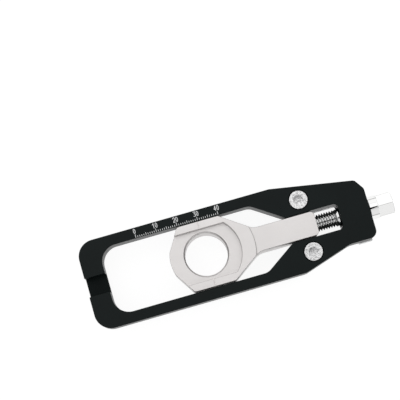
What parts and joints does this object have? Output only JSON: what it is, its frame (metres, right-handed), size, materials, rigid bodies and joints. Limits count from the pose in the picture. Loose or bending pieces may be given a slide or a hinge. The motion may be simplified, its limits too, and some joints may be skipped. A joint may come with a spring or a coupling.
{
  "type": "motorcycle chain adjuster",
  "caption": "Black slotted plate with a graduated rail, a sliding axle block with a bore, and a hex-headed screw that draws the block along the window to tension the chain.",
  "frame": {"origin": "on the axis of the axle bore, in the plane of the plate's back face, with the slider at 29.6 on the scale", "axes": "+X along the adjusting screw towards its hex head, +Y towards the graduated rail, +Z out of the plate's front face"},
  "size_m": [0.1492, 0.0428, 0.0185],
  "materials": {
    "black_anodised": "satin black anodised, machined from plate",
    "marking_white": "matt white laser marking",
    "slider_aluminium": "fine satin, clear anodised",
    "screw_steel": "bright stainless steel",
    "block_aluminium": "satin, clear anodised",
    "cap_screw_zinc": "zinc plated steel"
  },
  "bodies": {
    "plate_assembly": {"body_plate": "black_anodised", "scale_marks": "marking_white", "rear_block": "block_aluminium", "cap_screw_upper": "cap_screw_zinc", "cap_screw_lower": "cap_screw_zinc"},
    "axle_slider": {"slider": "slider_aluminium"},
    "screw_assembly": {"adjuster_screw": "screw_steel", "retaining_collar": "screw_steel"}
  },
  "joints": [
    {"name": "slider_slide", "type": "slide", "parent": "plate_assembly", "child": "axle_slider", "axis": [1, 0, 0], "range_m": [-0.0296, 0.0104]},
    {"name": "screw_turn", "type": "hinge", "parent": "plate_assembly", "child": "screw_assembly", "pos_m": [0.07, 0, 0.006], "axis": [1, 0, 0], "range_deg": [-2995.2, 8524.8]}
  ],
  "couplings": [
    {"joint": "screw_turn", "follows": "slider_slide", "rad_per_m": -5026.5}
  ]
}
